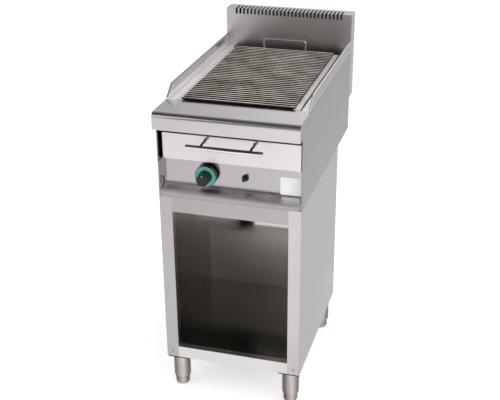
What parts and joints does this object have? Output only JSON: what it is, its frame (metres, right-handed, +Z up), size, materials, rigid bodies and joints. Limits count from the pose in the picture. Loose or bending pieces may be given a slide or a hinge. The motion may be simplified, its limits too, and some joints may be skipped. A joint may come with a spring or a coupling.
{
  "type": "charbroiler grill",
  "caption": "Gas char grill on an open stand: lift-off rod grate, slotted flue, bullnose ledge, pull-out drip drawer, push-and-turn gas knob and adjustable feet.",
  "frame": {"origin": "on the floor under the middle of the outline", "axes": "+Z up, front towards -Y, +X to the right seen from the front"},
  "size_m": [0.4, 0.734, 0.995],
  "materials": {
    "brushed_steel": "satin brushed stainless sheet",
    "bright_steel": "fine brushed stainless sheet, bright",
    "panel_steel": "satin brushed stainless sheet",
    "inside_steel": "plain mill finish, dull",
    "grate_steel": "drawn stainless rod, slightly heat tinted",
    "leg_steel": "turned and brushed stainless tube",
    "screw_steel": "plated screw",
    "polished_steel": "polished stainless bar",
    "burner_steel": "heat dulled tube",
    "brass": "machined brass",
    "black_plastic": "moulded black, low gloss",
    "teal_dial": "printed ring, semi gloss",
    "white_plate": "blank white plate",
    "ceramic": "glazed ceramic"
  },
  "bodies": {
    "grill_body": {"stand_left_panel": "brushed_steel", "stand_right_panel": "brushed_steel", "stand_left_post": "brushed_steel", "stand_right_post": "brushed_steel", "stand_rails": "brushed_steel", "stand_back_panel": "brushed_steel", "stand_base_channels": "brushed_steel", "stand_shelf": "inside_steel", "leg_plates": "brushed_steel", "leg_tubes": "leg_steel", "panel_screws": "screw_steel", "unit_base_pan": "brushed_steel", "unit_left_panel": "brushed_steel", "unit_right_panel": "brushed_steel", "unit_back_panel": "brushed_steel", "bullnose": "brushed_steel", "control_panel": "panel_steel", "rating_plate": "white_plate", "left_splash_guard": "brushed_steel", "right_splash_guard": "brushed_steel", "left_ledge": "brushed_steel", "right_ledge": "brushed_steel", "firebox_side_walls": "inside_steel", "firebox_end_walls": "inside_steel", "grate_supports": "inside_steel", "flue_riser": "brushed_steel", "flue_back_panel": "brushed_steel", "flue_cheeks": "brushed_steel", "flue_floor": "brushed_steel", "drawer_runners": "inside_steel", "burner_tubes": "burner_steel", "burner_header": "burner_steel", "burner_venturi": "burner_steel", "burner_supports": "inside_steel", "deflector_rests": "inside_steel", "flame_deflectors": "inside_steel", "gas_injector": "brass", "burner_feed_pipe": "burner_steel", "gas_supply_pipe": "burner_steel", "gas_inlet_fitting": "brass", "gas_tap": "brass", "piezo_igniter": "black_plastic", "ignition_electrode": "ceramic", "thermocouple": "brass"},
    "drawer": {"drawer_front": "bright_steel", "drawer_tray": "inside_steel", "drawer_handle_bar": "polished_steel", "drawer_handle_standoffs": "polished_steel"},
    "grate": {"grate_side_rails": "grate_steel", "grate_rods": "grate_steel", "grate_lift_loop": "grate_steel"},
    "tap_plunger": {"tap_push_rod": "brass"},
    "control_knob": {"tap_spindle": "burner_steel", "knob": "black_plastic", "knob_dial": "teal_dial"},
    "igniter_button": {"piezo_button": "black_plastic"},
    "front_left_leveller": {"front_left_foot": "leg_steel"},
    "front_right_leveller": {"front_right_foot": "leg_steel"},
    "rear_left_leveller": {"rear_left_foot": "leg_steel"},
    "rear_right_leveller": {"rear_right_foot": "leg_steel"}
  },
  "joints": [
    {"name": "drawer_slide", "type": "slide", "parent": "grill_body", "child": "drawer", "axis": [0, -1, 0], "range_m": [0, 0.4]},
    {"name": "grate_lift", "type": "slide", "parent": "grill_body", "child": "grate", "axis": [0, 0, 1], "range_m": [0, 0.15]},
    {"name": "knob_push", "type": "slide", "parent": "grill_body", "child": "tap_plunger", "axis": [0, 1, 0], "range_m": [0, 0.005], "stiffness_N_per_m": 1500},
    {"name": "knob_turn", "type": "hinge", "parent": "tap_plunger", "child": "control_knob", "pos_m": [-0.068, -0.316, 0.698], "axis": [0, -1, 0], "range_deg": [0, 270]},
    {"name": "igniter_press", "type": "slide", "parent": "grill_body", "child": "igniter_button", "axis": [0, 1, 0], "range_m": [0, 0.006], "stiffness_N_per_m": 800},
    {"name": "front_left_level", "type": "slide", "parent": "grill_body", "child": "front_left_leveller", "axis": [0, 0, 1], "range_m": [-0.015, 0.02]},
    {"name": "front_right_level", "type": "slide", "parent": "grill_body", "child": "front_right_leveller", "axis": [0, 0, 1], "range_m": [-0.015, 0.02]},
    {"name": "rear_left_level", "type": "slide", "parent": "grill_body", "child": "rear_left_leveller", "axis": [0, 0, 1], "range_m": [-0.015, 0.02]},
    {"name": "rear_right_level", "type": "slide", "parent": "grill_body", "child": "rear_right_leveller", "axis": [0, 0, 1], "range_m": [-0.015, 0.02]}
  ]
}
